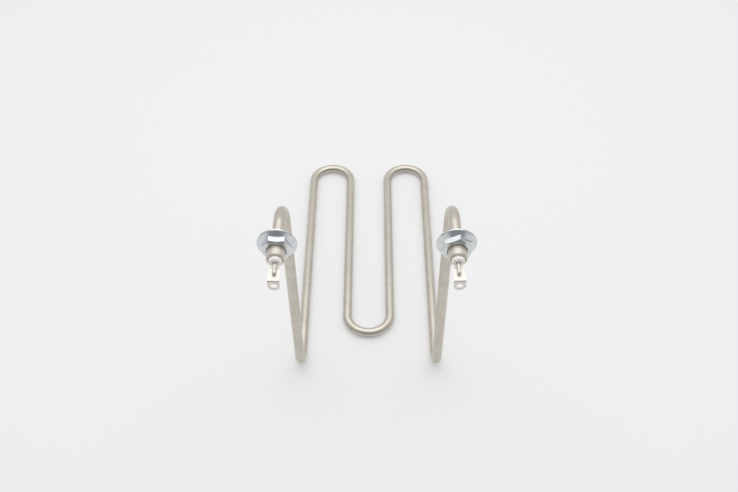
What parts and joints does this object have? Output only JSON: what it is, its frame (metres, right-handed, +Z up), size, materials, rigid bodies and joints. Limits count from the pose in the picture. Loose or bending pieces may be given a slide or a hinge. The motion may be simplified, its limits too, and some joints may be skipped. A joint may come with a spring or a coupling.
{
  "type": "fryer heating element",
  "caption": "Tubular immersion heating element bent into a flat W, with upright risers and level threaded terminal ends with ceramic insulators and ring tabs.",
  "frame": {"origin": "middle of the footprint, on the surface that the W lies on", "axes": "+Z up, +Y from the terminal ends towards the far bends, +X to the right seen from the terminals"},
  "size_m": [0.14, 0.3306, 0.218],
  "materials": {
    "sheath": "satin drawn stainless steel",
    "magnesia": "compacted matt powder",
    "coil": "oxidised resistance wire",
    "pin": "nickel-plated steel",
    "seal": "matt silicone sealant",
    "ceramic": "unglazed steatite, smooth and matt",
    "bushing": "turned steel, dull nickel plate",
    "nut": "bright zinc plate",
    "tab": "stamped nickel-plated steel"
  },
  "bodies": {
    "root": {"sheath_tube": "sheath", "magnesia_fill": "magnesia", "heating_coil": "coil", "left_cold_pin": "pin", "right_cold_pin": "pin", "left_end_seal": "seal", "right_end_seal": "seal", "left_ceramic_insulator": "ceramic", "right_ceramic_insulator": "ceramic", "left_threaded_bushing": "bushing", "right_threaded_bushing": "bushing", "left_flange_nut": "nut", "right_flange_nut": "nut", "left_terminal_tab": "tab", "right_terminal_tab": "tab"}
  },
  "joints": []
}
